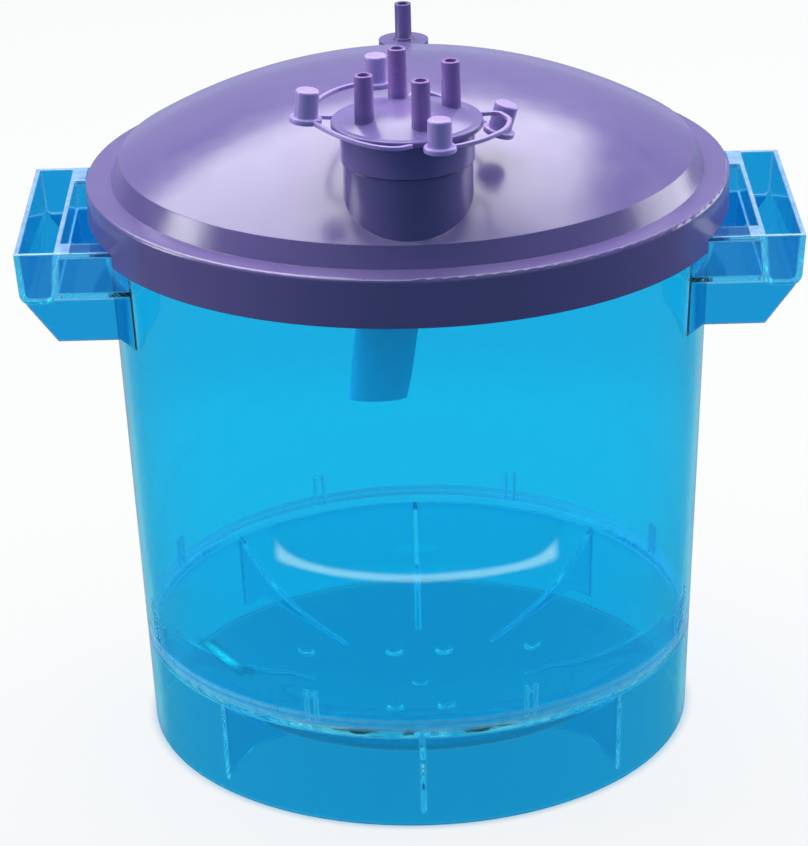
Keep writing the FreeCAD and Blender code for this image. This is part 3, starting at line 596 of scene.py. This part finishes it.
@dataclass(frozen=True)
class Studio:
    """Pale floor, soft lamps, a white surround and the camera."""

    floor_size: float = 40.0
    floor_drop: float = 0.0002
    floor_colour: Colour = (0.62, 0.62, 0.62)
    floor_bounce: Colour = (0.10, 0.15, 0.20)
    floor_glow_share: float = 0.88
    # Painted shadow: under the jar the floor glows in this dark blue instead of white, out to these radii.
    shadow_under_jar: Colour = (0.05, 0.38, 0.62)
    shadow_under_jar_radii: Span = (0.138, 0.150)
    # Painted shade: seen through the clear plastic, the floor glows dimmer in green and blue beyond these
    # radii, which darkens the jar's upper wall.
    through_far_shade: Colour = (1.0, 0.84, 0.90)
    through_far_shade_radii: Span = (0.40, 0.54)
    surround: float = 0.945
    mirrored: float = 0.14
    fill: float = 0.34
    fill_colour: Colour = (0.30, 0.72, 1.0)
    behind: float = 0.55
    behind_colour: Colour = (0.62, 0.76, 1.0)
    behind_back: Span = (0.64, 0.92)
    behind_low: Span = (0.06, -0.04)
    card_shift: float = -0.004
    card_radius: float = 0.397
    card_width: float = 0.013
    card_end_width: float = 0.028
    card_end_power: int = 9
    card_middle_deg: float = -90.0
    card_half_deg: float = 49.5
    card_points: int = 61
    card_radiance: float = 6.0
    card_colour: Colour = (0.80, 0.92, 0.60)
    card_across: Span = (0.12, 0.38)
    card_along: Span = (0.462, 0.038)
    streak_place: Place = (0.76, 2.70, 1.02)
    streak_halves: Span = (0.34, 0.17)
    streak_fade: Span = (1.0, 0.15)
    streak_radiance: float = 9.0
    camera_place: Place = (-0.005153, -1.69117, 0.88446)
    camera_drop_deg: float = 23.127
    camera_roll_deg: float = 1.501
    camera_reach: float = 100.0
    sensor_height_mm: float = 36.0
    focal_px: float = 3467.65
    picture_height_px: float = 846.0
    clear_bounces: int = 64
    matt_bounces: int = 4
    shadow_bounces: int = 24

    def world(self) -> None:
        """Light softly from all round, and show white behind and through the object.

        Reflections see it dim, apart from the pale sweep low behind the object.
        """
        world = bpy.data.worlds.new("surround")
        bpy.context.scene.world = world
        world.use_nodes = True
        sketch = Sketch(world.node_tree)
        soft = sketch.glow("Background", self.fill_colour, self.fill)
        dim = sketch.glow("Background", self.fill_colour, self.mirrored)
        sweep = sketch.glow("Background", self.behind_colour, self.behind)
        white = sketch.glow("Background", WHITE, self.surround)
        direction = sketch.add("TexCoord").outputs["Generated"]
        backward = sketch.times(sketch.ramp(sketch.part(direction, "Y"), *self.behind_back),
                                sketch.ramp(sketch.part(direction, "Z"), *self.behind_low))
        mirrored = sketch.either(backward, dim, sweep)
        unseen = sketch.either(sketch.rays(Ray.GLOSSY), soft, mirrored)
        sketch.end(sketch.either(sketch.rays(Ray.CAMERA, Ray.TRANSMISSION), unseen, white), "OutputWorld")

    def floor(self) -> None:
        """Lay the floor: it keeps the shadow, carries a painted shadow in the jar's blue under the jar and a
        painted shade far out where the clear plastic looks through, the eye sees it nearly white, and from
        below it is clear.
        """
        half = self.floor_size / 2
        mesh = flat_mesh("floor", half, half)
        floor = new_object("floor", mesh)
        floor.location.z = -self.floor_drop
        material, sketch = new_material("floor")
        seen = sketch.rays(Ray.CAMERA, Ray.TRANSMISSION)
        matt = sketch.add("BsdfDiffuse")
        sketch.join(sketch.blend(seen, self.floor_bounce, self.floor_colour), matt.inputs["Color"])
        # Painted shadow: inside the jar's foot the floor's glow turns dark blue.
        outside = sketch.ramp(sketch.radius(), *self.shadow_under_jar_radii)
        near = sketch.blend(outside, self.shadow_under_jar, WHITE)
        # Painted shade: far out, and only through the clear plastic, the glow dims in green and blue.
        far = sketch.times(sketch.ramp(sketch.radius(), *self.through_far_shade_radii), sketch.rays(Ray.TRANSMISSION))
        glow = sketch.glow("Emission", WHITE, self.surround)
        sketch.join(sketch.blend(far, near, self.through_far_shade), glow.inputs["Color"])
        upper = sketch.either(sketch.times(seen, self.floor_glow_share), matt, glow)
        lower = sketch.add("BsdfTransparent")
        sketch.end(sketch.either(sketch.add("NewGeometry").outputs["Backfacing"], upper, lower))
        mesh.materials.append(material)
        floor.visible_glossy = False

    def low_card(self) -> None:
        """Lay a narrow curved card on the floor before the jar, for the pale line on the front of its wall.

        Its two edges are arcs about the Z axis. The outer one moves outwards with a high power of the angle
        from the card's middle, which widens the card at its two ends. Only reflections see it.
        """
        middle, half = self.card_middle_deg, self.card_half_deg
        turn = np.radians(np.linspace(middle - half, middle + half, self.card_points))
        ends = np.clip(np.abs(np.degrees(turn) - middle) / half, 0.0, 1.0) ** self.card_end_power
        inner = self.card_radius - self.card_width / 2 * np.ones_like(turn)
        outer = self.card_radius + self.card_width / 2 + self.card_end_width * ends
        rows = [np.stack((radius * np.cos(turn), radius * np.sin(turn), np.zeros_like(turn)), axis=1)
                for radius in (inner, outer)]
        count = len(turn)
        first = np.arange(count - 1)
        faces = np.stack((first, first + count, first + count + 1, first + 1), axis=1)
        mesh = bpy.data.meshes.new("low_card")
        mesh.from_pydata(np.concatenate(rows).tolist(), [], faces.tolist())
        across = np.tile(np.array([0.0, 1.0, 1.0, 0.0]), count - 1)
        along = (faces % count / (count - 1)).ravel()
        layer = mesh.uv_layers.new(name="across")
        layer.data.foreach_set("uv", np.stack((across, along), axis=1).ravel())
        material, sketch = new_material("low_card")
        spot = sketch.add("TexCoord").outputs["UV"]
        strength = sketch.times(sketch.band(sketch.part(spot, "X"), 0.5, *self.card_across),
                                sketch.band(sketch.part(spot, "Y"), 0.5, *self.card_along))
        glow = sketch.glow("Emission", self.card_colour, 1.0)
        sketch.join(sketch.times(strength, self.card_radiance), glow.inputs["Strength"])
        sketch.end(glow)
        card = self.hidden_card("low_card", mesh, material)
        card.visible_transmission = False
        card.location.x = self.card_shift

    def streak_card(self) -> None:
        """Hang a small soft card far back, for the streak in the bowl.

        Only rays that come out of the clear plastic see it.
        """
        half_x, half_y = self.streak_halves
        mesh = flat_mesh("streak_card", half_x, half_y)
        material, sketch = new_material("streak_card")
        soft = sketch.ramp(sketch.away((1.0 / half_x, 1.0 / half_y, 0.0)), *self.streak_fade)
        glow = sketch.glow("Emission", self.card_colour, 1.0)
        sketch.join(sketch.times(soft, self.streak_radiance), glow.inputs["Strength"])
        sketch.end(glow)
        card = self.hidden_card("streak_card", mesh, material)
        card.visible_glossy = False
        card.location = self.streak_place
        card.rotation_euler = (-Vector(self.streak_place)).to_track_quat("-Z", "Y").to_euler()

    def hidden_card(self, name: str, mesh: bpy.types.Mesh, material: bpy.types.Material) -> bpy.types.Object:
        """Set up a card that the camera, matt faces and shadows don't see.

        Args:
            name: the card's name.
            mesh: its surface.
            material: its glow.

        Returns:
            The card.
        """
        mesh.materials.append(material)
        card = new_object(name, mesh)
        card.visible_camera = False
        card.visible_diffuse = False
        card.visible_shadow = False
        return card

    def lamps(self) -> None:
        """Hang the softboxes: wide ones above, behind and in front, and one at each side."""
        for box in SOFTBOXES:
            box.build()

    def camera(self) -> None:
        """Set the camera at the photograph's place, drop, roll and field of view.

        Its axes are the level line and the tilted upright, both turned by the roll, and their cross product.
        """
        data = bpy.data.cameras.new("camera")
        data.sensor_fit = "VERTICAL"
        data.sensor_height = self.sensor_height_mm
        data.lens = self.focal_px / self.picture_height_px * data.sensor_height
        data.clip_end = self.camera_reach
        camera = new_object("camera", data)
        drop = math.radians(self.camera_drop_deg)
        roll = math.radians(self.camera_roll_deg)
        level = Vector((1.0, 0.0, 0.0))
        upright = Vector((0.0, math.sin(drop), math.cos(drop)))
        right = level * math.cos(roll) - upright * math.sin(roll)
        up = level * math.sin(roll) + upright * math.cos(roll)
        back = right.cross(up)
        turn = Matrix((right, up, back)).transposed()
        camera.matrix_world = Matrix.Translation(self.camera_place) @ turn.to_4x4()
        bpy.context.scene.camera = camera

    def view(self) -> None:
        """Set how colours are shown and how often light may bounce and pass through."""
        scene = bpy.context.scene
        scene.view_settings.view_transform = "Standard"
        scene.cycles.max_bounces = self.clear_bounces
        scene.cycles.transmission_bounces = self.clear_bounces
        scene.cycles.glossy_bounces = self.clear_bounces
        scene.cycles.diffuse_bounces = self.matt_bounces
        scene.cycles.transparent_max_bounces = self.shadow_bounces

    def build(self) -> None:
        """Set up the whole studio."""
        self.world()
        self.floor()
        self.low_card()
        self.streak_card()
        self.lamps()
        self.camera()
        self.view()
        LOG.info("studio is set up")


def main() -> None:
    """Dress the frame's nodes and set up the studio."""
    logging.basicConfig(level=logging.INFO, format="%(name)s: %(message)s")
    dress(("canister_jar",), CLEAR_BLUE)
    dress(("lid",), VIOLET)
    dress(("port_cap",), CAP_VIOLET)
    dress(("tether_front", "tether_left", "tether_back", "tether_right"), TETHER_VIOLET)
    dress(("drop_sleeve",), SLEEVE)
    dress(("rim_seal", "valve_seal"), SEAL)
    dress(("float_cage", "shutoff_float"), VALVE)
    Studio().build()


if __name__ == "__main__":
    main()
